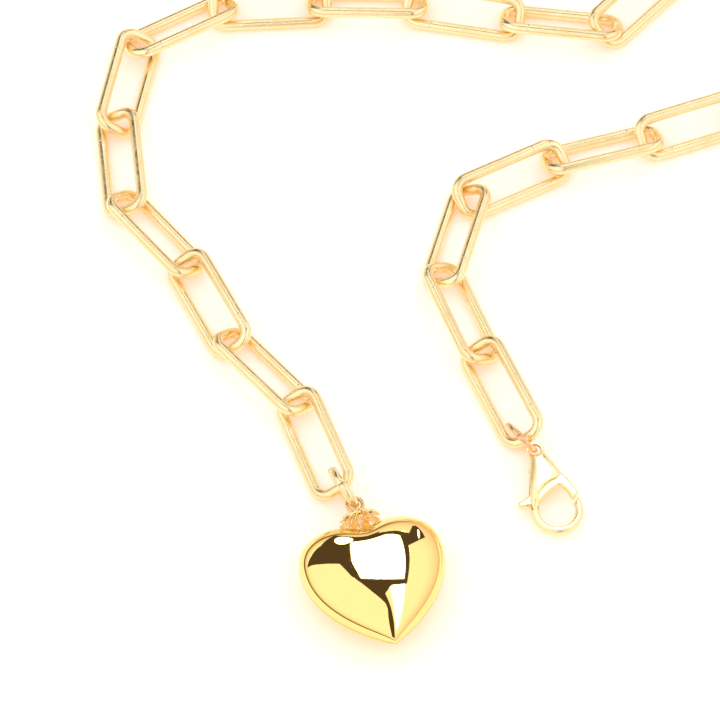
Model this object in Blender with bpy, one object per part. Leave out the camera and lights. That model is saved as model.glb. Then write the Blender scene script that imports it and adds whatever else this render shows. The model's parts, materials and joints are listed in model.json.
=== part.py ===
"""Pendant necklace: a puffed heart on one end of a paperclip chain, a lobster clasp on the other.

The necklace lies on a table (z = 0) in loose curves. Lengths are in metres and angles in degrees.
Links are numbered from the heart to the clasp. Each moving piece hangs from an empty on its joint's axis.
"""

import math

import bmesh
import bpy
from mathutils import Euler, Matrix, Vector
from mathutils.geometry import interpolate_bezier

MM = 0.001

# Chain: links of round wire, each turned the other way from its neighbours
LINK_RADIUS = 0.8 * MM
LINK_LENGTH = 16.6 * MM  # between the middles of the wire, as are the next two
LINK_WIDTH = 5.5 * MM
LINK_CORNER = 2.0 * MM
LINK_ROLL = 28
OVERLAP_STRAIGHT = 2.3 * MM  # how far two joined ends reach into each other
OVERLAP_PER_DEGREE = 0.012 * MM  # they slide deeper where the chain bends
CHAIN_START = Vector((-42.837 * MM, -49.208 * MM))
LINK_HEADINGS = (
    (111, 132, 117, 130, 96, 78, 29, 3, -1, -10, -7, 47)  # up from the heart and across
    + (51, 49, 38, 17, -12, -46, -83, -116, -142, -159, -167, -167)  # round the far loop
    + (-160, -164, -153, -106, -68, -66)  # back down to the clasp
)
FIXED_LINK = 16  # the link that the two arms of the chain swing from

# Jump rings: open rings whose two ends butt together
PENDANT_RING_RADIUS = 3.2 * MM
PENDANT_RING_WIRE = 0.5 * MM
PENDANT_RING_HEADING = -60
PENDANT_RING_LEAN = -15
PENDANT_RING_OFFSET = (1.3 * MM, 0.6 * MM)  # along its heading and to the left, from the link's end
CLASP_RING_RADIUS = 2.6 * MM
CLASP_RING_WIRE = 0.4 * MM
CLASP_RING_HEADING = -50
CLASP_RING_LEAN = -25
CLASP_RING_OFFSET = (-0.1 * MM, -0.8 * MM)
RING_SPLIT = 3  # degrees of the ring that the saw cut takes

# Heart: two stamped shells, drawn with the tip at (0, 0) and the notch up the y axis
HEART_THICKNESS = 8.4 * MM
HEART_HEADING = 104.3  # from the tip to the notch
HEART_WALL = 0.5 * MM
HEART_CENTRE = Vector((0, 11.2 * MM))
HEART_NOTCH = Vector((0, 18.2 * MM))
HEART_SIDE = Vector((10.2 * MM, 13.6 * MM))
LOBE_HANDLES = (Vector((2.6 * MM, 20.6 * MM)), Vector((10.2 * MM, 20.2 * MM)))
FLANK_HANDLES = (Vector((10.3 * MM, 7.8 * MM)), Vector((5.6 * MM, 3.0 * MM)))
SEAM_GAP = 0.1 * MM
DOME_POWER = 2.4
DOME_RINGS = 6
OUTLINE_STEPS = 9  # points on each quarter of the outline
FLAT_SHARE = 0.26  # the back's flat, as a share of the way from the middle to the outline

# Bead cap and eye, on the heart's y axis
CAP_TOP = 21.35 * MM
CAP_RADIUS = 2.6 * MM
CAP_SCALLOP = 0.3 * MM
CAP_PETALS = 8
CAP_DROP = 1.0 * MM
CAP_THICKNESS = 0.3 * MM
CAP_HOLE = 0.5 * MM
EYE_CENTRE = 23.0 * MM
EYE_RADIUS = 1.1 * MM
EYE_WIRE = 0.28 * MM
SHANK_RADIUS = 0.35 * MM
SHANK_HEAD_RADIUS = 0.85 * MM
SHANK_HEAD_HEIGHT = 16.9 * MM
SHANK_HOLE = 0.55 * MM

# Clasp: drawn with its eye at (0, 0) and the hook along the x axis
CLASP_HEADING = -72
CLASP_THICKNESS = 2.4 * MM
CLASP_EYE_HEIGHT = 2.4 * MM
CLASP_EYE_RADIUS = 1.35 * MM
CLASP_EYE_HOLE = 0.8 * MM
CLASP_EYE_THICKNESS = 0.9 * MM
HOOK_CENTRE = Vector((9.9 * MM, 0))
HOOK_OUTER = 3.7 * MM
HOOK_INNER = 2.5 * MM
HOOK_TIP_OUTER = 110.5  # where the hook ends, on its outer and its inner circle
HOOK_TIP_INNER = 98
CHEEK_CORNER = Vector((4.6 * MM, 2.55 * MM))
OPENING_APEX = Vector((6.3 * MM, 1.6 * MM))
SLOT_HEIGHT = 1.5 * MM
TRIGGER_THICKNESS = 1.2 * MM
TRIGGER_PIVOT = Vector((4.7 * MM, 0.5 * MM, 0))
PIN_RADIUS = 0.45 * MM
PIN_CLEARANCE = 0.05 * MM
SPRING_RADIUS = 0.14 * MM

WIRE_SIDES = 8
WIRE_RESOLUTION = 2  # gives a bevel of 8 sides


def clear_scene():
    for obj in list(bpy.data.objects):
        bpy.data.objects.remove(obj, do_unlink=True)


def gold(name, colour, roughness):
    material = bpy.data.materials.new(name)
    material.use_nodes = True
    shader = material.node_tree.nodes["Principled BSDF"]
    shader.inputs["Base Color"].default_value = (*colour, 1)
    shader.inputs["Metallic"].default_value = 1
    shader.inputs["Roughness"].default_value = roughness
    return material


def direction(heading):
    """The level unit vector at this heading, in degrees from +X towards +Y."""
    return Vector((math.cos(math.radians(heading)), math.sin(math.radians(heading)), 0))


def add_object(name, data, material=None, parent=None):
    obj = bpy.data.objects.new(name, data)
    bpy.context.scene.collection.objects.link(obj)
    obj.parent = parent
    if material:
        data.materials.append(material)
    return obj


def add_pivot(name, matrix, parent=None):
    """An empty at this world matrix, on the joint's axis of what hangs from it."""
    pivot = add_object("pivot_" + name, None, parent=parent)
    pivot.empty_display_size = 2 * MM
    bpy.context.view_layer.update()
    pivot.matrix_world = matrix
    bpy.context.view_layer.update()
    return pivot


def mesh_of(name, bm, smooth_angle=40):
    bmesh.ops.recalc_face_normals(bm, faces=bm.faces)
    mesh = bpy.data.meshes.new(name)
    bm.to_mesh(mesh)
    bm.free()
    mesh.shade_smooth()
    mesh.set_sharp_from_angle(angle=math.radians(smooth_angle))
    return mesh


def wire_curve(name, points, radius, closed, tilt=0.0):
    """A round wire along straight steps. The bevel's flats, not its edges, lie at the radius."""
    curve = bpy.data.curves.new(name, "CURVE")
    curve.dimensions = "3D"
    curve.twist_mode = "Z_UP"
    curve.bevel_depth = radius / math.cos(math.pi / WIRE_SIDES)
    curve.bevel_resolution = WIRE_RESOLUTION
    curve.use_fill_caps = not closed
    spline = curve.splines.new("POLY")
    spline.points.add(len(points) - 1)
    for spline_point, point in zip(spline.points, points):
        spline_point.co = (*point, 1)
        spline_point.tilt = math.radians(tilt)
    spline.use_cyclic_u = closed
    return curve


def arc(centre, radius, start, end, steps):
    """Points on a circle in the xy plane, both ends included, from start to end in degrees."""
    angles = [math.radians(start + (end - start) * step / steps) for step in range(steps + 1)]
    return [centre + radius * Vector((math.cos(a), math.sin(a))) for a in angles]


def extrude_outline(name, outline, thickness):
    """A plate with this outline, its middle plane on z = 0."""
    bm = bmesh.new()
    face = bm.faces.new([bm.verts.new((p.x, p.y, -thickness / 2)) for p in outline])
    moved = bmesh.ops.extrude_face_region(bm, geom=[face])["geom"]
    verts = [v for v in moved if isinstance(v, bmesh.types.BMVert)]
    bmesh.ops.translate(bm, vec=(0, 0, thickness), verts=verts)
    return mesh_of(name, bm)


def cylinder_mesh(name, radius, depth, sides):
    bm = bmesh.new()
    bmesh.ops.create_cone(
        bm, cap_ends=True, segments=sides, radius1=radius, radius2=radius, depth=depth
    )
    return mesh_of(name, bm)


def box_mesh(name, low, high):
    bm = bmesh.new()
    bmesh.ops.create_cube(bm, size=1)
    middle = (Vector(low) + Vector(high)) / 2
    size = Vector(high) - Vector(low)
    bmesh.ops.transform(bm, matrix=Matrix.LocRotScale(middle, None, size), verts=bm.verts)
    return mesh_of(name, bm)


def boolean(obj, name, mesh, operation, location=(0, 0, 0), rotation=(0, 0, 0)):
    """Cuts this mesh from the object, or joins it on. The mesh is placed in the object's frame."""
    helper = add_object(name, mesh, parent=obj)
    helper.location = location
    helper.rotation_euler = [math.radians(angle) for angle in rotation]
    helper.hide_render = True
    helper.display_type = "WIRE"
    modifier = obj.modifiers.new(name, "BOOLEAN")
    modifier.object = helper
    modifier.operation = operation
    modifier.solver = "EXACT"
    return helper


# Chain


def link_path():
    """The wire's middle line: a rectangle with round corners, counter-clockwise."""
    half_length = LINK_LENGTH / 2 - LINK_CORNER
    half_width = LINK_WIDTH / 2 - LINK_CORNER
    corners = ((1, 1, 0), (-1, 1, 90), (-1, -1, 180), (1, -1, 270))
    points = []
    for side_x, side_y, start in corners:
        centre = Vector((side_x * half_length, side_y * half_width))
        points += arc(centre, LINK_CORNER, start, start + 90, 3)
    return [point.to_3d() for point in points]


def link_height():
    """The middle of a link, when the lower of its two long wires lies on the table."""
    return LINK_RADIUS + LINK_WIDTH / 2 * math.sin(math.radians(LINK_ROLL))


def overlap(bend):
    return OVERLAP_STRAIGHT + OVERLAP_PER_DEGREE * abs(bend)


def chain_layout():
    """(the middle of each link, the points where each link meets the next), at the links' height."""
    bends = [b - a for a, b in zip(LINK_HEADINGS, LINK_HEADINGS[1:])]
    bends = [0] + [(bend + 180) % 360 - 180 for bend in bends] + [0]
    point = CHAIN_START.to_3d() + Vector((0, 0, link_height()))
    middles, meetings = [], []
    for heading, bend_before, bend_after in zip(LINK_HEADINGS, bends, bends[1:]):
        middle = point + direction(heading) * (LINK_LENGTH - overlap(bend_before)) / 2
        point = middle + direction(heading) * (LINK_LENGTH - overlap(bend_after)) / 2
        middles.append(middle)
        meetings.append(point)
    return middles, meetings[:-1]


def add_chain(material):
    """The links, and the pivots of the first and the last."""
    middles, meetings = chain_layout()
    down_flat = 22.5 - LINK_ROLL  # turns the bevel until a flat faces the table
    curve = wire_curve("link_wire", link_path(), LINK_RADIUS, closed=True, tilt=down_flat)
    count = len(LINK_HEADINGS)
    fixed = FIXED_LINK - 1
    pivots = {fixed: add_pivot(f"link_{FIXED_LINK:02}", Matrix.Translation(middles[fixed]))}
    for index in range(fixed - 1, -1, -1):
        place = Matrix.Translation(meetings[index])
        pivots[index] = add_pivot(f"link_{index + 1:02}", place, pivots[index + 1])
    for index in range(fixed + 1, count):
        place = Matrix.Translation(meetings[index - 1])
        pivots[index] = add_pivot(f"link_{index + 1:02}", place, pivots[index - 1])
    for index, (middle, heading) in enumerate(zip(middles, LINK_HEADINGS)):
        # An even link is an odd one turned end for end, so that it leans the other way
        turn = heading + 180 * (index % 2)
        link = add_object(f"chain_link_{index + 1:02}", curve, parent=pivots[index])
        link.rotation_euler = Euler((math.radians(-LINK_ROLL), 0, math.radians(turn)))
        link.location = middle - pivots[index].matrix_world.translation
    curve.materials.append(material)
    return pivots[0], pivots[count - 1]


# Jump rings


def ring_place(link_end, heading, lean, radius, wire, offset):
    """The world matrix of a ring standing on the table: x is its heading, z its axis."""
    ahead = direction(heading)
    left = direction(heading + 90)
    centre = link_end + ahead * offset[0] + left * offset[1]
    centre.z = radius * math.cos(math.radians(lean)) + 1.1 * wire
    turn = Matrix.Rotation(math.radians(heading), 4, "Z")
    stand = Matrix.Rotation(math.radians(90 - lean), 4, "X")
    return Matrix.Translation(centre) @ turn @ stand


def ring_point(place, radius, height):
    """Where the far side of the ring's wire passes this height."""
    centre = place.translation
    ahead = place.to_3x3() @ Vector((1, 0, 0))
    up = place.to_3x3() @ Vector((0, 1, 0))
    share = (height - centre.z) / (radius * up.z)
    return centre + radius * (math.sqrt(1 - share * share) * ahead + share * up)


def add_ring(name, place, radius, wire, split_at, pivot, material):
    points = arc(Vector((0, 0)), radius, split_at, split_at + 360 - RING_SPLIT, 24)
    curve = wire_curve(name, [p.to_3d() for p in points], wire, closed=False)
    ring = add_object(name, curve, material, pivot)
    bpy.context.view_layer.update()
    ring.matrix_world = place
    return ring


# Heart


def heart_outline():
    """The outline, counter-clockwise from the notch."""
    lobe = interpolate_bezier(HEART_NOTCH, *LOBE_HANDLES, HEART_SIDE, OUTLINE_STEPS + 1)
    flank = interpolate_bezier(HEART_SIDE, *FLANK_HANDLES, Vector((0, 0)), OUTLINE_STEPS + 1)
    right = [Vector(point[:2]) for point in lobe + flank[1:]]
    left = [Vector((-point.x, point.y)) for point in right]
    return left + right[-2:0:-1]


def dome(share):
    """The height of a shell at this share of the way from its middle to its outline."""
    return math.sqrt(max(0.0, 1 - share**DOME_POWER))


def add_surface(bm, outline, inset, height, side, flat):
    """A domed skin: rings of points from the outline to the middle. Gives its rim."""
    rim_z = side * SEAM_GAP / 2
    rings = []
    for step in range(DOME_RINGS, 0, -1):
        share = FLAT_SHARE + (1 - FLAT_SHARE) * math.sin(math.pi / 2 * (step - 1) / (DOME_RINGS - 1))
        z = rim_z + side * height * dome(share) / (dome(FLAT_SHARE) if flat else 1)
        ring = []
        for point in outline:
            reach = point - HEART_CENTRE
            spot = HEART_CENTRE + reach * share * (1 - inset / reach.length)
            ring.append(bm.verts.new((spot.x, spot.y, z)))
        rings.append(ring)
    for outer, inner in zip(rings, rings[1:]):
        for i in range(len(outer)):
            bm.faces.new((outer[i - 1], outer[i], inner[i], inner[i - 1]))
    last = rings[-1]
    middle_z = last[0].co.z if flat else rim_z + side * height
    middle = bm.verts.new((*HEART_CENTRE, middle_z))
    for i in range(len(last)):
        bm.faces.new((last[i - 1], last[i], middle))
    return rings[0]


def add_shell(name, side, flat, pivot, place, material):
    outline = heart_outline()
    height = (HEART_THICKNESS - SEAM_GAP) / 2
    bm = bmesh.new()
    outer_rim = add_surface(bm, outline, 0, height, side, flat)
    inner_rim = add_surface(bm, outline, HEART_WALL, height - HEART_WALL, side, flat)
    for i in range(len(outline)):
        bm.faces.new((outer_rim[i - 1], outer_rim[i], inner_rim[i], inner_rim[i - 1]))
    shell = add_object(name, mesh_of(name, bm), material, pivot)
    hole = cylinder_mesh(name + "_shank_cutter", SHANK_HOLE, 6 * MM, 16)
    boolean(shell, name + "_shank_hole", hole, "DIFFERENCE", HEART_NOTCH.to_3d(), (90, 0, 0))
    shell.matrix_world = place
    return shell


def add_cap(pivot, place, material):
    """A scalloped cup over the notch, open to the heart, with a hole for the shank."""
    bm = bmesh.new()
    around = CAP_PETALS * 5
    skins = []
    for sink in (0, CAP_THICKNESS):
        rings = []
        for step in range(4):
            ring = []
            for i in range(around):
                angle = 2 * math.pi * i / around
                rim = CAP_RADIUS + CAP_SCALLOP * abs(math.cos(angle * CAP_PETALS / 2))
                reach = CAP_HOLE + (rim - CAP_HOLE) * step / 3
                y = CAP_TOP - sink - CAP_DROP * (reach / CAP_RADIUS) ** 2
                ring.append(bm.verts.new((reach * math.cos(angle), y, reach * math.sin(angle))))
            rings.append(ring)
        skins.append(rings)
    top, bottom = skins
    for rings in (*zip(top, top[1:]), *zip(bottom, bottom[1:]), (top[0], bottom[0]), (top[-1], bottom[-1])):
        for i in range(around):
            bm.faces.new((rings[0][i - 1], rings[0][i], rings[1][i], rings[1][i - 1]))
    cap = add_object("heart_cap", mesh_of("heart_cap", bm), material, pivot)
    cap.matrix_world = place
    return cap


def add_eye(pivot, place, material):
    """A wire loop on a shank, whose flat head holds it inside the heart."""
    loop = wire_curve(
        "heart_eye",
        [p.to_3d() for p in arc(Vector((0, EYE_CENTRE)), EYE_RADIUS, 0, 345, 23)],
        EYE_WIRE,
        closed=True,
    )
    as_curve = add_object("heart_eye_curve", loop)
    mesh = bpy.data.meshes.new_from_object(as_curve)
    bpy.data.objects.remove(as_curve, do_unlink=True)
    eye = add_object("heart_eye", mesh, material, pivot)
    top = EYE_CENTRE - EYE_RADIUS
    length = top - SHANK_HEAD_HEIGHT
    shank = cylinder_mesh("eye_shank", SHANK_RADIUS, length, 12)
    boolean(eye, "eye_shank", shank, "UNION", (0, top - length / 2, 0), (90, 0, 0))
    head = cylinder_mesh("eye_head", SHANK_HEAD_RADIUS, 0.4 * MM, 16)
    boolean(eye, "eye_head", head, "UNION", (0, SHANK_HEAD_HEIGHT, 0), (90, 0, 0))
    eye.matrix_world = place
    return eye


def add_heart(eye_point, ring_pivot, material):
    """The heart's pieces, hung on an empty at the eye's centre."""
    turn = Matrix.Rotation(math.radians(HEART_HEADING - 90), 4, "Z")
    pivot = add_pivot("heart", Matrix.Translation(eye_point) @ turn, ring_pivot)
    tip = eye_point - direction(HEART_HEADING) * EYE_CENTRE
    tip.z = HEART_THICKNESS / 2
    place = Matrix.Translation(tip) @ turn
    add_shell("heart_front_shell", 1, False, pivot, place, material)
    add_shell("heart_back_shell", -1, True, pivot, place, material)
    add_cap(pivot, place, material)
    add_eye(pivot, place, material)


# Clasp


def clasp_outline():
    """The body's outline, from the eye down the closed side, round the hook and back up inside."""
    eye_end = CLASP_EYE_RADIUS * Vector((0.5, -math.sqrt(0.75)))
    hook_side = HOOK_CENTRE - Vector((0, HOOK_OUTER))
    handles = (Vector((3.0 * MM, -1.6 * MM)), Vector((5.6 * MM, -3.7 * MM)))
    closed_side = interpolate_bezier(eye_end, *handles, hook_side, 9)
    inner = arc(HOOK_CENTRE, HOOK_INNER, HOOK_TIP_INNER, -100, 20)
    handles = (Vector((8.4 * MM, -2.2 * MM)), Vector((6.9 * MM, -0.6 * MM)))
    inner_side = interpolate_bezier(inner[-1], *handles, OPENING_APEX, 6)
    eye_start = CLASP_EYE_RADIUS * Vector((0.5, math.sqrt(0.75)))
    handles = (Vector((3.2 * MM, 2.1 * MM)), Vector((1.8 * MM, 1.6 * MM)))
    open_side = interpolate_bezier(CHEEK_CORNER, *handles, eye_start, 5)
    return (
        arc(Vector((0, 0)), CLASP_EYE_RADIUS, 60, 300, 12)
        + [Vector(p[:2]) for p in closed_side[1:-1]]
        + arc(HOOK_CENTRE, HOOK_OUTER, -90, HOOK_TIP_OUTER, 22)
        + inner
        + [Vector(p[:2]) for p in inner_side[1:]]
        + [Vector(p[:2]) for p in open_side[:-1]]
    )


def add_clasp_body(pivot, material):
    mesh = extrude_outline("clasp_body", clasp_outline(), CLASP_THICKNESS)
    body = add_object("clasp_body", mesh, material, pivot)
    bevel = body.modifiers.new("rounded_edges", "BEVEL")
    bevel.width = 0.45 * MM
    bevel.segments = 2
    bevel.limit_method = "ANGLE"
    bevel.angle_limit = math.radians(60)
    slot = [(2.7, 4.2), (2.7, -1.0), (4.0, -5.5), (8.95, -5.5), (8.95, -1.5), (7.3, 4.2)]
    slot = extrude_outline("clasp_slot_cutter", [Vector(p) * MM for p in slot], SLOT_HEIGHT)
    boolean(body, "clasp_slot", slot, "DIFFERENCE")
    for name, side in (("above", 1), ("below", -1)):
        near, far = side * CLASP_EYE_THICKNESS / 2, side * CLASP_THICKNESS
        low = (-3 * MM, -3 * MM, min(near, far))
        high = (1.45 * MM, 3 * MM, max(near, far))
        boolean(body, "clasp_eye_" + name, box_mesh("clasp_eye_" + name, low, high), "DIFFERENCE")
    hole = cylinder_mesh("clasp_eye_cutter", CLASP_EYE_HOLE, 4 * MM, 20)
    boolean(body, "clasp_eye_hole", hole, "DIFFERENCE")
    hole = cylinder_mesh("clasp_pin_cutter", PIN_RADIUS + PIN_CLEARANCE, 4 * MM, 16)
    boolean(body, "clasp_pin_hole", hole, "DIFFERENCE", TRIGGER_PIVOT)
    return body


def add_trigger(pivot, material):
    """One lever: the gate on one side of its pivot, the thumb tab on the other."""
    gate = [(3.6, 1.3), (4.4, 2.25), (5.4, 2.85), (6.6, 3.3), (7.6, 3.58), (8.25, 3.62)]
    gate_end = [(8.65, 3.1), (8.97, 2.5)]
    inside = [(8.1, 2.45), (7.1, 2.15), (6.3, 1.45), (6.05, 0.4), (6.5, -0.9), (7.6, -2.2)]
    tab = [(8.3, -3.3), (8.2, -4.6), (7.7, -5.1), (7.2, -4.9), (6.9, -3.6)]
    back = [(5.6, -1.9), (4.5, -0.85), (3.6, -0.3), (3.3, 0.5)]
    outline = [Vector(p) * MM - TRIGGER_PIVOT.xy for p in gate + gate_end + inside + tab + back]
    outline.reverse()
    mesh = extrude_outline("clasp_trigger", outline, TRIGGER_THICKNESS)
    trigger = add_object("clasp_trigger", mesh, material, pivot)
    bevel = trigger.modifiers.new("rounded_edges", "BEVEL")
    bevel.width = 0.2 * MM
    bevel.segments = 1
    bevel.limit_method = "ANGLE"
    bevel.angle_limit = math.radians(60)
    hole = cylinder_mesh("trigger_pin_cutter", PIN_RADIUS + PIN_CLEARANCE, 4 * MM, 16)
    boolean(trigger, "trigger_pin_hole", hole, "DIFFERENCE")
    return trigger


def add_clasp(eye_point, ring_pivot, body_material, trigger_material, steel):
    """The clasp's pieces. It hangs a little nose-down, with the hook on the table."""
    reach = HOOK_CENTRE.x + HOOK_OUTER
    nose_down = math.asin((CLASP_EYE_HEIGHT - CLASP_THICKNESS / 2) / reach)
    turn = Matrix.Rotation(math.radians(CLASP_HEADING), 4, "Z")
    place = Matrix.Translation(eye_point) @ turn @ Matrix.Rotation(nose_down, 4, "Y")
    pivot = add_pivot("clasp", place, ring_pivot)
    add_clasp_body(pivot, body_material)
    trigger_pivot = add_pivot("trigger", place @ Matrix.Translation(TRIGGER_PIVOT), pivot)
    add_trigger(trigger_pivot, trigger_material)
    pin_mesh = cylinder_mesh("clasp_pivot_pin", PIN_RADIUS, CLASP_THICKNESS, 16)
    pin = add_object("clasp_pivot_pin", pin_mesh, steel, pivot)
    pin.location = TRIGGER_PIVOT
    route = [(2.95, -1.0), (3.3, -1.45), (3.9, -1.5), (4.6, -1.5), (5.2, -1.8)]
    points = [Vector((x, y, 0)) * MM for x, y in route]
    spring = wire_curve("clasp_spring", points, SPRING_RADIUS, closed=False)
    add_object("clasp_spring", spring, steel, pivot)


def main():
    clear_scene()
    link_gold = gold("gold_link", (0.95, 0.78, 0.42), 0.12)
    heart_gold = gold("gold_heart", (0.96, 0.8, 0.38), 0.05)
    clasp_gold = gold("gold_clasp", (0.95, 0.78, 0.42), 0.15)
    steel = gold("spring_steel", (0.75, 0.72, 0.66), 0.3)
    first_pivot, last_pivot = add_chain(link_gold)
    middles, _ = chain_layout()
    first_end = middles[0] - direction(LINK_HEADINGS[0]) * LINK_LENGTH / 2
    last_end = middles[-1] + direction(LINK_HEADINGS[-1]) * LINK_LENGTH / 2

    place = ring_place(
        first_end,
        PENDANT_RING_HEADING,
        PENDANT_RING_LEAN,
        PENDANT_RING_RADIUS,
        PENDANT_RING_WIRE,
        PENDANT_RING_OFFSET,
    )
    pivot = add_pivot("pendant_ring", Matrix.Translation(first_end), first_pivot)
    add_ring("pendant_ring", place, PENDANT_RING_RADIUS, PENDANT_RING_WIRE, 80, pivot, link_gold)
    eye_point = ring_point(place, PENDANT_RING_RADIUS, HEART_THICKNESS / 2)
    add_heart(eye_point, pivot, heart_gold)

    place = ring_place(
        last_end,
        CLASP_RING_HEADING,
        CLASP_RING_LEAN,
        CLASP_RING_RADIUS,
        CLASP_RING_WIRE,
        CLASP_RING_OFFSET,
    )
    pivot = add_pivot("clasp_ring", Matrix.Translation(last_end), last_pivot)
    add_ring("clasp_ring", place, CLASP_RING_RADIUS, CLASP_RING_WIRE, 80, pivot, link_gold)
    eye_point = ring_point(place, CLASP_RING_RADIUS, CLASP_EYE_HEIGHT)
    add_clasp(eye_point, pivot, clasp_gold, clasp_gold, steel)


main()
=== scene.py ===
"""The looks of the pendant necklace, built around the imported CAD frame. Lengths are in metres."""

import json
import math

import bmesh
import bpy
import numpy as np
from mathutils import Matrix, Vector
from mathutils.geometry import delaunay_2d_cdt, interpolate_bezier, tessellate_polygon


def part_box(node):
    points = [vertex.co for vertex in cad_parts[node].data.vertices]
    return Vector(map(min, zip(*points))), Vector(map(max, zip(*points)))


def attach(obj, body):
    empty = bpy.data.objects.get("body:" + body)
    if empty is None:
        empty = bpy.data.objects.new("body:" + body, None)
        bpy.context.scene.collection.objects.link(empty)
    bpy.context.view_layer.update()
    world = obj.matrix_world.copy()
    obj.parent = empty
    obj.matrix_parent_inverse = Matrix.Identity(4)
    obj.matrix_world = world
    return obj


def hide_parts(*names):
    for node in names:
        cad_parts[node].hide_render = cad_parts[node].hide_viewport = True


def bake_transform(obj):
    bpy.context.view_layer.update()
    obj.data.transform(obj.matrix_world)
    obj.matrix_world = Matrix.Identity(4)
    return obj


MM = 0.001

# Camera: a long lens, well above the table
CAMERA_TARGET = Vector((-39.1 * MM, -27.44 * MM, 0))
CAMERA_DISTANCE = 1.0
CAMERA_ELEVATION = 58
CAMERA_SENSOR = 36
FRAME_WIDTH = 102.24 * MM  # what the picture spans at the target

# The white room round the table: colours by height, on its darker left side and its warm right side
SKY_STRENGTH = 1.2
WEST_SKY = (
    (0.0, (0.12, 0.1, 0.08)),
    (0.09, (0.2, 0.16, 0.12)),
    (0.15, (0.8, 0.62, 0.5)),
    (0.3, (1.0, 0.93, 0.86)),
    (0.55, (1.0, 0.99, 0.97)),
)
EAST_SKY = (
    (0.0, (0.6, 0.42, 0.36)),
    (0.14, (0.9, 0.66, 0.6)),
    (0.36, (1.0, 0.82, 0.78)),
    (0.58, (1.0, 0.97, 0.95)),
    (0.8, (1.0, 0.99, 0.97)),
)
SKY_TURN = (-0.25, 0.3)  # where the left side's colours give way to the right side's

# What hangs over the heart
GAP_HEIGHT = 0.9
SOFTBOX_HEIGHT = 0.93
LAMP_HEIGHT = 0.88
LIGHT_RADIANCE = 3

# Sizes repeated from the CAD part
LINK_RADIUS = 0.8 * MM
LINK_LENGTH = 16.6 * MM
LINK_WIDTH = 5.5 * MM
LINK_CORNER = 2.0 * MM
HEART_HEADING = 104.3
HEART_HALF = 4.2 * MM
HEART_WALL = 0.5 * MM
HEART_NOTCH = 18.2 * MM  # up from the tip, as are the heart's other places
EYE_CENTRE = 23.0 * MM
EYE_RADIUS = 1.1 * MM
CLASP_HEADING = -72
CLASP_NOSE_DOWN = 5.06
HOOK_CENTRE = 9.9 * MM  # along from the clasp's eye
PIVOT = (4.7 * MM, 0.5 * MM)

# Shapes that only the looks have
LINK_SEAM = -4.5  # where the solder is along a link, in millimetres
HEART_MIDDLE = 11.2 * MM
HEART_RIM_GAP = 0.045 * MM  # from the seam to each shell's rim
PUFF_RINGS = 26
OUTLINE_STEPS = 26
CAP_PETALS = 8
CAP_TOP = 21.35 * MM
CAP_DROP = 1.0 * MM
CASTING_THICKNESS = 2.6 * MM
CASTING_ROUNDING = 0.8 * MM  # how far in from its rim the casting levels off
CASTING_SPACING = 0.16 * MM
RIM_ROWS = (0.03 * MM, 0.09 * MM)  # rows of points beside the casting's rim, where it rounds off fastest
SLIVER_AREA = 1e-14

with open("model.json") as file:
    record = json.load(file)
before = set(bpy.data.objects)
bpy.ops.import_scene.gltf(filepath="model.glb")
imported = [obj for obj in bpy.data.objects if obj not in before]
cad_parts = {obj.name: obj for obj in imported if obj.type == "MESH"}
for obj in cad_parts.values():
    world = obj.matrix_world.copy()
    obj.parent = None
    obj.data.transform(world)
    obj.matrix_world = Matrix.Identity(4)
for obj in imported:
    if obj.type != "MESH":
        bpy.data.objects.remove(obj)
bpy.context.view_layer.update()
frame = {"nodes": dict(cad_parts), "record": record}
joints = {joint["name"]: joint for joint in frame["record"]["behaviour"]["joints"]}


# Materials


class Nodes:
    """Short calls for a material's node tree."""

    def __init__(self, name):
        self.material = bpy.data.materials.new(name)
        self.material.use_nodes = True
        self.tree = self.material.node_tree
        self.shader = self.tree.nodes["Principled BSDF"]

    def add(self, kind, settings=(), **inputs):
        node = self.tree.nodes.new("ShaderNode" + kind)
        for key, value in dict(settings).items():
            setattr(node, key, value)
        for key, value in inputs.items():
            self.feed(node, key.replace("_", " "), value)
        return node

    def feed(self, node, socket, value):
        target = node.inputs[socket]
        if isinstance(value, bpy.types.NodeSocket):
            self.tree.links.new(value, target)
        else:
            target.default_value = value

    def noise(self, scale, detail=3, stretch=(1, 1, 1)):
        """Noise fixed to the piece."""
        place = self.add("TexCoord").outputs["Object"]
        mapping = self.add("Mapping", Vector=place, Scale=stretch)
        texture = self.add("TexNoise", Vector=mapping.outputs[0], Scale=scale, Detail=detail)
        return texture.outputs["Fac"]

    def spread(self, value, low, high):
        """Maps the middle half of a 0 to 1 noise onto low to high."""
        mapped = self.add("MapRange", Value=value, From_Min=0.3, From_Max=0.7, To_Min=low, To_Max=high)
        return mapped.outputs[0]

    def mix(self, factor, first, second):
        """A mix of two colours, by the number of each colour socket on the node."""
        node = self.add("Mix", {"data_type": "RGBA"})
        self.feed(node, 0, factor)
        self.feed(node, 6, (*first, 1))
        self.feed(node, 7, (*second, 1))
        return node.outputs[2]


def gold(name, bright, deep, roughness, scratch=0.02, ripple=0.0):
    """Polished plating: a colour that drifts a little, fine polishing marks and small ripples."""
    n = Nodes(name)
    drift = n.spread(n.noise(scale=180, detail=2), 0, 1)
    n.feed(n.shader, "Base Color", n.mix(drift, bright, deep))
    n.shader.inputs["Metallic"].default_value = 1
    smear = n.spread(n.noise(scale=900, detail=4), roughness * 0.7, roughness * 1.35)
    n.feed(n.shader, "Roughness", smear)
    marks = n.noise(scale=2500, stretch=(1, 9, 1))
    bump = n.add("Bump", Height=marks, Strength=scratch, Distance=0.02 * MM)
    if ripple:
        waves = n.add("Bump", Height=n.noise(scale=140, detail=1), Strength=ripple, Distance=0.1 * MM)
        n.feed(bump, "Normal", waves.outputs[0])
    n.feed(n.shader, "Normal", bump.outputs[0])
    return n.material


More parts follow.
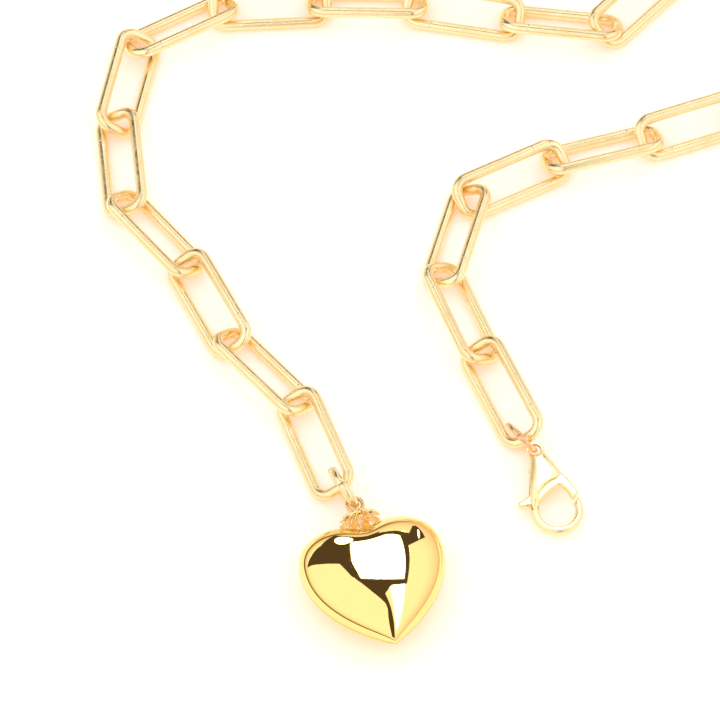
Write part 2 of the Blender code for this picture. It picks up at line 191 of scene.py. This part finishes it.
def paper(name, colour, lift):
    """A matt white sheet, lit from within a little, so that its shadows stay pale and warm."""
    n = Nodes(name)
    shade = tuple(0.985 * part for part in colour)
    n.feed(n.shader, "Base Color", n.mix(n.noise(scale=35, detail=2), colour, shade))
    n.shader.inputs["Roughness"].default_value = 0.55
    n.shader.inputs["Specular IOR Level"].default_value = 0.3
    n.shader.inputs["Emission Color"].default_value = (*lift, 1)
    n.shader.inputs["Emission Strength"].default_value = 1
    return n.material


def glow(name, colour):
    """A surface that only shines."""
    n = Nodes(name)
    n.shader.inputs["Base Color"].default_value = (0, 0, 0, 1)
    n.shader.inputs["Specular IOR Level"].default_value = 0
    n.shader.inputs["Emission Color"].default_value = (*colour, 1)
    n.shader.inputs["Emission Strength"].default_value = 1
    return n.material


LINK_GOLD = gold("link_gold", (1.0, 0.86, 0.53), (0.98, 0.78, 0.43), 0.26, 0.03, 0.1)
HEART_GOLD = gold("heart_gold", (1.0, 0.8, 0.32), (1.0, 0.78, 0.29), 0.03, 0.008)
CLASP_GOLD = gold("clasp_gold", (1.0, 0.86, 0.52), (1.0, 0.81, 0.44), 0.3, 0.03, 0.1)
RING_GOLD = gold("ring_gold", (0.88, 0.63, 0.36), (0.8, 0.53, 0.28), 0.2, 0.06, 0.1)
CAP_GOLD = gold("cap_gold", (1.0, 0.92, 0.68), (1.0, 0.88, 0.6), 0.16, 0.05, 0.1)
STEEL = gold("spring_steel", (0.75, 0.72, 0.66), (0.7, 0.66, 0.6), 0.28, 0.05)


# Mesh helpers


def new_object(name, data):
    obj = bpy.data.objects.new(name, data)
    bpy.context.scene.collection.objects.link(obj)
    return obj


def finish_mesh(name, bm, smooth_angle=50):
    """The bmesh as a smooth mesh, with creases where faces turn more than the angle."""
    bmesh.ops.recalc_face_normals(bm, faces=bm.faces)
    mesh = bpy.data.meshes.new(name)
    bm.to_mesh(mesh)
    bm.free()
    mesh.shade_smooth()
    if smooth_angle:
        mesh.set_sharp_from_angle(angle=math.radians(smooth_angle))
    return mesh


def add_piece(name, mesh, material, body, replaced, place, bend=None):
    """A visible piece on a body. Given a bend, it is left fixed in place on no body instead, and what the
    bend holds is not used.
    """
    piece = new_object(name, mesh)
    if not mesh.materials:
        mesh.materials.append(material)
    piece.matrix_world = place
    if bend:
        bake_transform(piece)
    else:
        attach(piece, body)
    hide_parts(*replaced)
    return piece


def join_rings(bm, rings, closed_path=False):
    """Faces between neighbouring rings of vertices."""
    pairs = list(zip(rings, rings[1:]))
    if closed_path:
        pairs.append((rings[-1], rings[0]))
    for first, second in pairs:
        for i in range(len(first)):
            bm.faces.new((first[i - 1], first[i], second[i], second[i - 1]))


def flat_tube(bm, points, radii, sides, closed, breadth=1):
    """A wire along points of the local xy plane: round, or broader across the plane."""
    count = len(points)
    rings = []
    for i, (point, radius) in enumerate(zip(points, radii)):
        if closed:
            ahead = points[(i + 1) % count] - points[i - 1]
        else:
            ahead = points[min(i + 1, count - 1)] - points[max(i - 1, 0)]
        out = Vector((ahead.y, -ahead.x, 0)).normalized()
        ring = []
        for side in range(sides):
            angle = 2 * math.pi * side / sides
            offset = radius * (math.cos(angle) * out + math.sin(angle) * Vector((0, 0, breadth)))
            ring.append(bm.verts.new(point + offset))
        rings.append(ring)
    join_rings(bm, rings, closed_path=closed)
    if not closed:
        bm.faces.new(rings[0])
        bm.faces.new(rings[-1])


def arc(centre, radius, start, end, steps):
    """Points from one angle to another, in degrees."""
    angles = [math.radians(start + (end - start) * step / steps) for step in range(steps + 1)]
    return [Vector((centre[0] + radius * math.cos(a), centre[1] + radius * math.sin(a), 0)) for a in angles]


def bezier(points, steps):
    """A curve from four points of the local xy plane, in millimetres."""
    return [Vector(p) for p in interpolate_bezier(*[Vector((x, y, 0)) * MM for x, y in points], steps)]


def cone(name, place, bottom, top, depth, segments):
    """A closed cone or cylinder, along the z axis of its place."""
    bm = bmesh.new()
    bmesh.ops.create_cone(
        bm,
        cap_ends=True,
        segments=segments,
        radius1=bottom,
        radius2=top,
        depth=depth,
        matrix=place,
    )
    return finish_mesh(name, bm)


def direction(heading):
    return Vector((math.cos(math.radians(heading)), math.sin(math.radians(heading)), 0))


def cut(mesh, cutters, operation="DIFFERENCE"):
    """The mesh with these meshes cut from it or joined on, as a new mesh."""
    obj = new_object("cut", mesh)
    helpers = []
    for cutter in cutters:
        helper = new_object("cutter", cutter)
        modifier = obj.modifiers.new("cut", "BOOLEAN")
        modifier.object = helper
        modifier.operation = operation
        modifier.solver = "EXACT"
        helpers.append(helper)
    result = evaluated(obj)
    for used in [obj, *helpers]:
        bpy.data.objects.remove(used, do_unlink=True)
    return result


def evaluated(obj):
    """The object's mesh as its modifiers leave it."""
    graph = bpy.context.evaluated_depsgraph_get()
    graph.update()
    return bpy.data.meshes.new_from_object(obj.evaluated_get(graph))


# Chain links


def soldered_radius(point):
    """The wire's radius: a little solder round a fine groove at the seam."""
    if point.y > -LINK_WIDTH / 2 + 0.01 * MM:
        return LINK_RADIUS
    along = abs(point.x - LINK_SEAM * MM) / MM
    groove = 0.035 * math.exp(-((along / 0.035) ** 2))
    solder = 0.012 * math.exp(-((along / 0.3) ** 2))
    return LINK_RADIUS * (1 + solder) - groove * MM


def link_mesh():
    """One link, soldered shut on a straight side."""
    half_length = LINK_LENGTH / 2 - LINK_CORNER
    half_width = LINK_WIDTH / 2 - LINK_CORNER
    points = []
    for side_x, side_y, start in ((1, 1, 0), (-1, 1, 90), (-1, -1, 180), (1, -1, 270)):
        centre = (side_x * half_length, side_y * half_width)
        points += arc(centre, LINK_CORNER, start, start + 90, 12)
        if (side_x, side_y) == (-1, -1):
            seam = [LINK_SEAM + step for step in (-0.5, -0.12, -0.06, -0.02, 0.02, 0.06, 0.12, 0.5)]
            points += [Vector((x * MM, -LINK_WIDTH / 2, 0)) for x in seam]
    bm = bmesh.new()
    flat_tube(bm, points, [soldered_radius(point) for point in points], 28, closed=True)
    return finish_mesh("link", bm, smooth_angle=0)


def place_of(node):
    """The matrix of a flat node: x along its longest side, z across its plane and upwards."""
    points = np.array([v.co for v in frame["nodes"][node].data.vertices], float)
    centre = (points.max(0) + points.min(0)) / 2
    _, _, axes = np.linalg.svd(points - points.mean(0), full_matrices=False)
    x, z = Vector(axes[0]), Vector(axes[2])
    if z.z < 0:
        z = -z
    turn = Matrix((x, z.cross(x), z)).transposed()
    return Matrix.Translation(centre) @ turn.to_4x4()


def add_links():
    """Every link, with two in three turned about so that the seams don't line up."""
    mesh = link_mesh()
    for node in sorted(name for name in frame["nodes"] if name.startswith("chain_link_")):
        number = node[-2:]
        place = place_of(node)
        if int(number) % 3:
            place = place @ Matrix.Rotation(math.pi, 4, "Z")
        add_piece("paperclip_" + number, mesh, LINK_GOLD, "link_" + number, [node], place)


# Jump rings


def ring_place(link_end, heading, lean, radius, wire, offset):
    """A ring resting on the table by its lowest point, offset ahead and left of the link's end."""
    ahead = direction(heading)
    left = direction(heading + 90)
    centre = link_end + ahead * offset[0] + left * offset[1]
    centre.z = radius * math.cos(math.radians(lean)) + 1.1 * wire
    turn = Matrix.Rotation(math.radians(heading), 4, "Z")
    stand = Matrix.Rotation(math.radians(90 - lean), 4, "X")
    return Matrix.Translation(centre) @ turn @ stand


def add_jump_ring(name, place, radius, wire, breadth, split_at, split, material):
    """A sawn ring: its ends are square, and a hair apart."""
    bm = bmesh.new()
    points = arc((0, 0), radius, split_at, split_at + 360 - split, 72)
    radii = [wire] * len(points)
    radii[0] = radii[-1] = wire * 0.93
    flat_tube(bm, points, radii, 24, closed=False, breadth=breadth)
    mesh = finish_mesh(name, bm)
    add_piece(name + "_wire", mesh, material, name, [name], place)


def add_rings():
    radius, wire = 3.2 * MM, 0.5 * MM
    end = Vector(joints["pendant_ring_swing"]["pos_m"])
    place = ring_place(end, -60, -15, radius, wire, (1.3 * MM, 0.6 * MM))
    add_jump_ring("pendant_ring", place, radius, wire, 1.3, 80, 2, LINK_GOLD)
    radius, wire = 2.6 * MM, 0.4 * MM
    end = Vector(joints["clasp_ring_swing"]["pos_m"])
    place = ring_place(end, -50, -25, radius, wire, (-0.1 * MM, -0.8 * MM))
    add_jump_ring("clasp_ring", place, radius, wire, 1, 80, 2, RING_GOLD)


# Heart


def heart_outline():
    """The outline, counter-clockwise from the notch."""
    notch, side, tip = Vector((0, HEART_NOTCH / MM, 0)), Vector((10.2, 13.6, 0)), Vector((0, 0, 0))
    points = OUTLINE_STEPS + 1
    lobe = interpolate_bezier(notch, Vector((2.6, 20.6, 0)), Vector((10.2, 20.2, 0)), side, points)
    flank = interpolate_bezier(side, Vector((10.3, 7.8, 0)), Vector((5.6, 3.0, 0)), tip, points)
    right = [Vector(point) * MM for point in lobe + flank[1:]]
    left = [Vector((-point.x, point.y, 0)) for point in right]
    return left + right[-2:0:-1]


def membrane(flat, triangles, rim, reach=None):
    """The height, from 0 to 1, of a skin blown up over the triangles and held down at the rim.

    It levels off further than reach from the rim, or nowhere if there is no reach.
    """
    stiffness = np.zeros((len(flat), len(flat)))
    load = np.zeros(len(flat))
    corners = flat[triangles]
    edges = np.roll(corners, -2, axis=1) - np.roll(corners, -1, axis=1)
    area = np.abs(edges[:, 0, 0] * edges[:, 1, 1] - edges[:, 0, 1] * edges[:, 1, 0]) / 2
    for i in range(3):
        np.add.at(load, triangles[:, i], area / 3)
        for j in range(3):
            term = (edges[:, i] * edges[:, j]).sum(1) / (4 * area)
            np.add.at(stiffness, (triangles[:, i], triangles[:, j]), term)
    if reach:
        stiffness[np.diag_indices(len(flat))] += load / reach**2
    free = np.setdiff1d(np.arange(len(flat)), rim)
    height = np.zeros(len(flat))
    height[free] = np.linalg.solve(stiffness[np.ix_(free, free)], load[free])
    return np.sqrt(height / height.max())


def puffed(outline):
    """A skin blown up over the outline: its points ring by ring, their heights, and a ring's length."""
    centre = Vector((0, HEART_MIDDLE, 0))
    count = len(outline)
    shares = [math.sin(math.pi / 2 * (PUFF_RINGS - ring) / PUFF_RINGS) for ring in range(PUFF_RINGS)]
    flat = np.array([[*(centre + (point - centre) * share)][:2] for share in shares for point in outline])
    flat = np.vstack([flat, [centre.x, centre.y]])
    triangles = []
    for ring in range(PUFF_RINGS):
        for i in range(count):
            a, b = ring * count + i, ring * count + (i + 1) % count
            if ring == PUFF_RINGS - 1:
                triangles.append((a, b, len(flat) - 1))
                continue
            c, d = a + count, b + count
            triangles += [(a, b, d), (a, d, c)]
    return flat, membrane(flat, np.array(triangles), np.arange(count)), count


def heart_shell(side, flat, height, count):
    """One stamped half with its wall, a hair from the other half, and drilled for the eye's shank."""
    wall_reach, least_reach = 8 * MM, 0.1 * MM
    bm = bmesh.new()
    rims = []
    for wall in (0, HEART_WALL):
        verts = []
        for (x, y), level in zip(flat, height):
            reach = Vector((x, y - HEART_MIDDLE)).length
            scale = 1 - wall * (reach / wall_reach) / max(reach, least_reach)
            z = side * HEART_RIM_GAP + side * (HEART_HALF - wall - HEART_RIM_GAP) * level
            verts.append(bm.verts.new((x * scale, HEART_MIDDLE + (y - HEART_MIDDLE) * scale, z)))
        rings = [verts[i : i + count] for i in range(0, len(verts) - 1, count)]
        join_rings(bm, rings)
        last = rings[-1]
        for i in range(count):
            bm.faces.new((last[i - 1], last[i], verts[-1]))
        rims.append(rings[0])
    join_rings(bm, rims)
    mesh = finish_mesh("heart_shell", bm, smooth_angle=60)
    place = Matrix.Translation((0, HEART_NOTCH, 0)) @ Matrix.Rotation(math.pi / 2, 4, "X")
    return cut(mesh, [cone("drill", place, 0.55 * MM, 0.55 * MM, 6 * MM, 32)])


def add_cup(bm):
    """A small fluted cup over the notch, with a hole for the shank."""
    around, steps = 96, 10
    hole, radius_at_rim, wall = 0.5 * MM, 1.9 * MM, 0.25 * MM
    flute_depth, bend_radius = 0.2 * MM, 2.6 * MM
    skins = []
    for sink in (0, wall):
        rings = []
        for step in range(steps + 1):
            ring = []
            for i in range(around):
                angle = 2 * math.pi * i / around
                flute = abs(math.cos(angle * CAP_PETALS / 2))
                radius = hole + (radius_at_rim * (0.9 + 0.1 * flute) - hole) * step / steps
                groove = flute_depth * (1 - flute) ** 2 * math.sin(math.pi * step / steps)
                y = CAP_TOP - sink - CAP_DROP * (radius / bend_radius) ** 2 - groove
                ring.append(bm.verts.new((radius * math.cos(angle), y, radius * math.sin(angle))))
            rings.append(ring)
        skins.append(rings)
    outer, inner = skins
    join_rings(bm, outer)
    join_rings(bm, inner)
    join_rings(bm, [outer[0], inner[0]])
    join_rings(bm, [outer[-1], inner[-1]])


def add_petals(bm):
    """A flower of petals that lean outwards, each a thin leaf in a loop of wire."""
    root, tip, half_width, wire = 1.1 * MM, 3.15 * MM, 0.62 * MM, 0.15 * MM
    middle, half = (tip + root) / 2, (tip - root) / 2
    loop = []
    for i in range(30):
        angle = 2 * math.pi * i / 30
        taper = 1 + 0.35 * math.cos(angle)
        loop.append(Vector((half * math.cos(angle), half_width * taper * math.sin(angle), 0)))
    upright = Matrix.Translation((0, CAP_TOP - CAP_DROP * 0.95, 0)) @ Matrix.Rotation(-math.pi / 2, 4, "X")
    lift = Matrix.Translation((middle, 0, CAP_DROP * 0.45)) @ Matrix.Rotation(math.radians(36), 4, "Y")
    places = []
    for petal in range(CAP_PETALS):
        turn = Matrix.Rotation(2 * math.pi * (petal + 0.5) / CAP_PETALS, 4, "Z")
        places.append(upright @ turn @ lift)
        start = len(bm.verts)
        flat_tube(bm, loop, [wire] * len(loop), 10, closed=True)
        bm.verts.ensure_lookup_table()
        bmesh.ops.transform(bm, matrix=places[-1], verts=bm.verts[start:])
    for place in places:
        leaf = place @ Matrix.Diagonal((half / MM, 0.66, 0.1, 1))
        bmesh.ops.create_uvsphere(bm, u_segments=24, v_segments=8, radius=1 * MM, matrix=leaf)


def cap_mesh():
    bm = bmesh.new()
    add_cup(bm)
    add_petals(bm)
    return finish_mesh("cap", bm, smooth_angle=55)


def eye_mesh():
    """A wire loop on a shank, with the head that holds it inside the heart."""
    bm = bmesh.new()
    flat_tube(bm, arc((0, EYE_CENTRE), EYE_RADIUS, 0, 354, 59), [0.28 * MM] * 60, 18, closed=True)
    loop = finish_mesh("heart_eye", bm)
    shank = [(0.32, 16.9), (0.34, 21.2), (0.42, 21.6), (0.36, 22.0)]  # radius and height, in millimetres
    head = ((0.85, 16.75), (0.8, 17.1))
    overlap = 0.02
    meshes = []
    for (r1, y1), (r2, y2) in [*zip(shank, shank[1:]), head]:
        place = Matrix.Translation((0, (y1 + y2) / 2 * MM, 0)) @ Matrix.Rotation(-math.pi / 2, 4, "X")
        meshes.append(cone("part", place, r1 * MM, r2 * MM, (y2 - y1 + overlap) * MM, 28))
    return cut(loop, meshes, "UNION")


def add_heart():
    """The heart's pieces. Gives its two shells."""
    eye = Vector(joints["heart_lift"]["pos_m"])
    turn = Matrix.Rotation(math.radians(HEART_HEADING - 90), 4, "Z")
    place = Matrix.Translation(eye - direction(HEART_HEADING) * EYE_CENTRE) @ turn
    flat, height, count = puffed(heart_outline())
    shells = []
    for name, side in (("front", 1), ("back", -1)):
        mesh = heart_shell(side, flat, height, count)
        node = f"heart_{name}_shell"
        shells.append(add_piece("puffed_" + name, mesh, HEART_GOLD, "heart", [node], place))
    add_piece("petal_cap", cap_mesh(), CAP_GOLD, "heart", ["heart_cap"], place)
    add_piece("eye_loop", eye_mesh(), RING_GOLD, "heart", ["heart_eye"], place)
    return shells


# Clasp


def plate(outline, thickness):
    """A flat plate, half of its thickness either side of the xy plane."""
    bm = bmesh.new()
    face = bm.faces.new([bm.verts.new((p[0], p[1], -thickness / 2)) for p in outline])
    moved = bmesh.ops.extrude_face_region(bm, geom=[face])["geom"]
    verts = [v for v in moved if isinstance(v, bmesh.types.BMVert)]
    bmesh.ops.translate(bm, vec=(0, 0, thickness), verts=verts)
    return finish_mesh("plate", bm)


def rounded(mesh, width, segments):
    """The mesh with its sharp edges rounded off."""
    obj = new_object("rounded", mesh)
    bevel = obj.modifiers.new("rounded_edges", "BEVEL")
    bevel.width = width
    bevel.segments = segments
    bevel.limit_method = "ANGLE"
    bevel.angle_limit = math.radians(60)
    result = evaluated(obj)
    bpy.data.objects.remove(obj, do_unlink=True)
    return result


def clasp_outline():
    """The eye, the closed side, the hook round to its tip, its inside, and the open side back to the eye."""
    eye, hook, hook_inside = 1.35 * MM, 3.7 * MM, 2.5 * MM
    start, end = eye * direction(60), eye * direction(-60)
    closed_side = bezier([(end.x / MM, end.y / MM), (3.0, -1.6), (5.6, -3.7), (9.9, -3.7)], 26)
    inner = arc((HOOK_CENTRE, 0), hook_inside, 98, -100, 60)
    inner_side = bezier([(inner[-1].x / MM, inner[-1].y / MM), (8.4, -2.2), (6.9, -0.6), (6.3, 1.6)], 18)
    open_side = bezier([(4.6, 2.55), (3.2, 2.1), (1.8, 1.6), (start.x / MM, start.y / MM)], 16)
    return (
        arc((0, 0), eye, 60, 300, 36)
        + closed_side[1:-1]
        + arc((HOOK_CENTRE, 0), hook, -90, 110.5, 60)
        + inner
        + inner_side[1:]
        + open_side[:-1]
    )


def inside(points, outline):
    """Which points lie within a closed outline."""
    x, y = points[:, 0], points[:, 1]
    within = np.zeros(len(points), bool)
    for (x1, y1), (x2, y2) in zip(outline, np.roll(outline, -1, axis=0)):
        crosses = (y1 > y) != (y2 > y)
        with np.errstate(divide="ignore", invalid="ignore"):
            within ^= crosses & (x < (x2 - x1) * (y - y1) / (y2 - y1) + x1)
    return within


def edge_distance(points, outline):
    """How far each point is from a closed outline."""
    best = np.full(len(points), np.inf)
    for start, end in zip(outline, np.roll(outline, -1, axis=0)):
        along = end - start
        share = np.clip(((points - start) @ along) / (along @ along), 0, 1)
        best = np.minimum(best, np.linalg.norm(points - start - share[:, None] * along, axis=1))
    return best


def between(points, loops, clearance=0):
    """Which points lie within the first loop and outside the holes, and this clear of them all."""
    keep = inside(points, loops[0])
    for hole in loops[1:]:
        keep &= ~inside(points, hole)
    if clearance:
        for loop in loops:
            keep &= edge_distance(points, loop) > clearance
    return keep


def near_rim(loops):
    """Rows of points just inside each loop."""
    rows = []
    for loop in loops:
        ahead = np.roll(loop, -1, axis=0) - np.roll(loop, 1, axis=0)
        normal = np.stack([-ahead[:, 1], ahead[:, 0]], axis=1)
        normal /= np.linalg.norm(normal, axis=1)[:, None]
        for depth in RIM_ROWS:
            for side in (1, -1):
                moved = loop + side * depth * normal
                rows.append(moved[between(moved, loops, depth * 0.9)])
    return rows


def grid_between(loops):
    """An even grid of points within the loops."""
    low, high = loops[0].min(0), loops[0].max(0)
    columns, rows = np.ceil((high - low) / CASTING_SPACING).astype(int)
    grid = []
    for i in range(columns):
        for j in range(rows):
            grid.append((low[0] + i * CASTING_SPACING, low[1] + j * CASTING_SPACING))
    grid = np.array(grid)
    return grid[between(grid, loops, CASTING_SPACING * 0.6)]


def triangulated(loops, points):
    """The triangles between the loops: their points and corners, without slivers."""
    edges, start = [], 0
    for loop in loops:
        edges += [(start + i, start + (i + 1) % len(loop)) for i in range(len(loop))]
        start += len(loop)
    found = delaunay_2d_cdt([Vector(p) for p in points], edges, [], 1, 1e-9)
    flat = np.array([tuple(v) for v in found[0]])
    triangles = np.array([tuple(face) for face in found[2] if len(face) == 3])
    triangles = triangles[between(flat[triangles].mean(1), loops)]
    a, b, c = (flat[triangles[:, i]] for i in range(3))
    area = np.abs((b - a)[:, 0] * (c - a)[:, 1] - (b - a)[:, 1] * (c - a)[:, 0])
    triangles = triangles[area > SLIVER_AREA]
    used = np.unique(triangles)
    remap = np.full(len(flat), -1)
    remap[used] = np.arange(len(used))
    return flat[used], remap[triangles]


def rim_of(triangles):
    """The points on the edges that only one triangle has."""
    pairs = np.concatenate([triangles[:, [0, 1]], triangles[:, [1, 2]], triangles[:, [2, 0]]])
    sides, counts = np.unique(np.sort(pairs, axis=1), axis=0, return_counts=True)
    return np.unique(sides[counts == 1])


def pillow(name, loops):
    """A casting with this outline and holes, rounded from its rim to its middle."""
    loops = [np.array([tuple(p)[:2] for p in loop]) for loop in loops]
    points = np.vstack([*loops, *near_rim(loops), grid_between(loops)])
    flat, triangles = triangulated(loops, points)
    rim = rim_of(triangles)
    height = membrane(flat, triangles, rim, CASTING_ROUNDING) * CASTING_THICKNESS / 2
    on_rim = set(rim.tolist())
    bm = bmesh.new()
    top = [bm.verts.new((x, y, z)) for (x, y), z in zip(flat, height)]
    bottom = []
    for i, ((x, y), z) in enumerate(zip(flat, height)):
        bottom.append(top[i] if i in on_rim else bm.verts.new((x, y, -z)))
    for skin in (top, bottom):
        for a, b, c in triangles:
            if skin is top or {a, b, c} - on_rim:
                bm.faces.new((skin[a], skin[b], skin[c]))
    return finish_mesh(name, bm, smooth_angle=0)


def clasp_body_mesh():
    """The casting: rounded, slotted for the lever, and open where the gate is."""
    hole = arc((0, 0), 0.8 * MM, 0, 352.5, 47)
    mesh = pillow("clasp", [clasp_outline(), hole])
    slot = [(2.7, 4.2), (2.7, -1.0), (4.0, -5.5), (8.95, -5.5), (8.95, -1.5), (7.3, 4.2)]
    window = [(4.8, 3.4), (4.95, 2.2), (5.25, 1.2), (5.4, 0.3), (5.85, -0.6), (6.4, -1.3)]
    window += [(7.1, -1.9), (9, -2.2), (9, 3)]
    cutters = []
    for outline, thickness in ((slot, 1.4 * MM), (window, 6 * MM)):
        cutters.append(plate([(x * MM, y * MM) for x, y in outline], thickness))
    return cut(mesh, cutters)


def trigger_mesh():
    """The lever: the gate as far as the hook's tip, its inner edge, the thumb tab, and the pivot's side."""
    gate = [(3.6, 1.3), (4.0, 1.85), (4.4, 2.25), (5.4, 2.85), (6.6, 3.3), (7.6, 3.58), (8.25, 3.62)]
    gate_end = [(8.65, 3.1), (8.97, 2.5)]
    inner = [(8.1, 2.45), (7.2, 2.15), (6.6, 1.8), (6.4, 1.4), (6.5, 0.75)]
    inner += [(6.8, 0.0), (7.2, -0.75), (7.7, -1.45), (8.3, -2.1)]
    tab = [(8.3, -3.3), (8.2, -4.6), (7.7, -5.1), (7.2, -4.9), (6.9, -3.6)]
    back = [(5.6, -1.9), (4.5, -0.85), (3.6, -0.3), (3.3, 0.5)]
    outline = [(x * MM, y * MM) for x, y in gate + gate_end + inner + tab + back]
    return rounded(plate(outline, 1.25 * MM), 0.4 * MM, 5)


def add_spring(place):
    """The spring wire in the slot, left fixed in place on no body."""
    wire = 0.14 * MM
    bend_from = 7  # the point of the route where the lever's part would start; add_piece doesn't use it
    route = bezier([(2.95, -1.0), (3.4, -1.7), (4.4, -1.2), (5.2, -1.8)], 20)
    bm = bmesh.new()
    flat_tube(bm, route, [wire] * len(route), 12, closed=False)
    mesh = finish_mesh("spring", bm)
    bend = ("trigger", place @ route[bend_from], place @ route[-1])
    add_piece("spring_wire", mesh, STEEL, "clasp", ["clasp_spring"], place, bend)


def add_clasp():
    """The clasp's pieces. Gives the casting and the lever."""
    eye = Vector(joints["clasp_lift"]["pos_m"])
    turn = Matrix.Rotation(math.radians(CLASP_HEADING), 4, "Z")
    place = Matrix.Translation(eye) @ turn @ Matrix.Rotation(math.radians(CLASP_NOSE_DOWN), 4, "Y")
    mesh = clasp_body_mesh()
    body = add_piece("clasp_casting", mesh, CLASP_GOLD, "clasp", ["clasp_body"], place)
    mesh = trigger_mesh()
    lever = add_piece("trigger_lever", mesh, CLASP_GOLD, "trigger", ["clasp_trigger"], place)
    pin = cone("pin", Matrix.Translation((*PIVOT, 0)), 0.45 * MM, 0.45 * MM, 2.42 * MM, 32)
    mesh = rounded(pin, 0.03 * MM, 2)
    add_piece("rivet", mesh, CLASP_GOLD, "clasp", ["clasp_pivot_pin"], place)
    add_spring(place)
    return [body, lever]


# Studio


def add_floor():
    bm = bmesh.new()
    bmesh.ops.create_grid(bm, x_segments=1, y_segments=1, size=3)
    floor = new_object("floor", finish_mesh("floor", bm))
    floor.data.materials.append(paper("white_floor", (0.9, 0.92, 0.96), (0.34, 0.17, 0.07)))


def heart_middle():
    return sum(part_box("heart_front_shell"), Vector()) / 2


def add_panel(name, outlines, height, material):
    """A level panel overhead, for reflections only, with its outline first and then its holes.

    The corners are sideways and away from above the heart, as shares of the panel's height over it.
    """
    loops = [[Vector((u * height, v * height, 0)) for u, v in outline] for outline in outlines]
    bm = bmesh.new()
    verts = [bm.verts.new(point) for loop in loops for point in loop]
    for corners in tessellate_polygon(loops):
        bm.faces.new([verts[i] for i in corners])
    panel = new_object(name, finish_mesh(name, bm))
    panel.data.materials.append(material)
    panel.location = heart_middle() + Vector((0, 0, height))
    panel.visible_camera = False
    panel.visible_shadow = False
    panel.visible_diffuse = False


def add_dark_gap():
    """The dark gap between the reflectors overhead: polished gold shows it round the softbox."""
    gap = [(-3.6, 1.44), (-0.98, 0.69), (-0.46, 0.59), (-0.32, 0.3), (-0.09, 0.06), (0.11, -0.1)]
    gap += [(0.155, -0.19), (0.1, -2.5), (0.9, -2.5), (0.41, -0.57), (0.24, -0.16), (0.12, 0.06)]
    gap += [(0.23, 0.2), (0.55, 0.22), (0.51, 0.63), (0.47, 1.05), (0.62, 1.2), (1.4, 2.1)]
    gap += [(1.5, 5.0), (1.05, 4.3), (0.5, 1.8), (0.3, 2.0), (-0.13, 2.6), (-0.33, 3.1), (-0.44, 3.8)]
    gap += [(-0.95, 5.4), (-2.1, 9.3), (-1.6, 5.1), (-1.32, 2.34), (-1.95, 1.7)]
    softbox = [(-0.36, 1.85), (-0.1, 2.1), (0.25, 1.6), (0.42, 0.62)]
    softbox += [(0.46, 0.29), (-0.2, 0.27), (-0.28, 0.6)]
    add_panel("dark_gap", [gap, softbox], GAP_HEIGHT, glow("dark_gap", (0.09, 0.06, 0.04)))


def add_light_over(name, shape, height, at, size, turn, pieces):
    """A level area light overhead, placed like a panel, that lights these pieces alone."""
    light = bpy.data.lights.new(name, "AREA")
    light.shape = shape
    light.size, light.size_y = size[0] * height, size[1] * height
    light.energy = LIGHT_RADIANCE * math.pi * light.size * light.size_y
    holder = new_object(name, light)
    holder.location = heart_middle() + Vector((*at, 1)) * height
    holder.rotation_euler.z = math.radians(turn)
    lit = bpy.data.collections.new(name)
    for piece in pieces:
        lit.objects.link(piece)
    holder.light_linking.receiver_collection = lit


def add_lights_over(heart, clasp):
    add_light_over("softbox", "RECTANGLE", SOFTBOX_HEIGHT, (0.06, 1.16), (0.82, 1.76), 4, heart + clasp)
    add_light_over("edge_light", "RECTANGLE", SOFTBOX_HEIGHT, (0.56, -0.3), (0.3, 1.15), 24, heart)
    add_light_over("lamp", "ELLIPSE", LAMP_HEIGHT, (-0.62, 2.8), (0.4, 2.4), 8, heart)
    add_light_over("small_lamp", "ELLIPSE", LAMP_HEIGHT, (1.0, 2.3), (0.12, 1.5), -12, heart)


def add_camera():
    camera = bpy.data.cameras.new("camera")
    holder = new_object("camera", camera)
    elevation = math.radians(CAMERA_ELEVATION)
    back = Vector((0, -math.cos(elevation), math.sin(elevation)))
    holder.location = CAMERA_TARGET + back * CAMERA_DISTANCE
    holder.rotation_euler = back.to_track_quat("Z", "Y").to_euler()
    camera.sensor_width = CAMERA_SENSOR
    camera.lens = CAMERA_SENSOR * CAMERA_DISTANCE / FRAME_WIDTH
    camera.clip_start = 0.01
    bpy.context.scene.camera = holder


def sky_ramp(tree, height, stops):
    """A colour that changes with the height."""
    ramp = tree.nodes.new("ShaderNodeValToRGB")
    tree.links.new(height, ramp.inputs[0])
    while len(ramp.color_ramp.elements) < len(stops):
        ramp.color_ramp.elements.new(0.5)
    for element, (position, colour) in zip(ramp.color_ramp.elements, stops):
        element.position = position
        element.color = (*colour, 1)
    return ramp.outputs[0]


def add_sky():
    """The room's colours round the table."""
    scene = bpy.context.scene
    world = scene.world or bpy.data.worlds.new("studio")
    scene.world = world
    world.use_nodes = True
    tree = world.node_tree
    background = tree.nodes["Background"]
    background.inputs["Strength"].default_value = SKY_STRENGTH
    place = tree.nodes.new("ShaderNodeTexCoord")
    split = tree.nodes.new("ShaderNodeSeparateXYZ")
    tree.links.new(place.outputs["Generated"], split.inputs[0])
    west, east = (sky_ramp(tree, split.outputs["Z"], stops) for stops in (WEST_SKY, EAST_SKY))
    turn = tree.nodes.new("ShaderNodeMapRange")
    turn.inputs["From Min"].default_value, turn.inputs["From Max"].default_value = SKY_TURN
    tree.links.new(split.outputs["X"], turn.inputs["Value"])
    blend = tree.nodes.new("ShaderNodeMix")
    blend.data_type = "RGBA"
    tree.links.new(turn.outputs[0], blend.inputs[0])
    tree.links.new(west, blend.inputs[6])
    tree.links.new(east, blend.inputs[7])
    tree.links.new(blend.outputs[2], background.inputs["Color"])
    scene.view_settings.view_transform = "Standard"


add_camera()
add_sky()
add_floor()
add_dark_gap()
add_links()
add_rings()
add_lights_over(add_heart(), add_clasp())
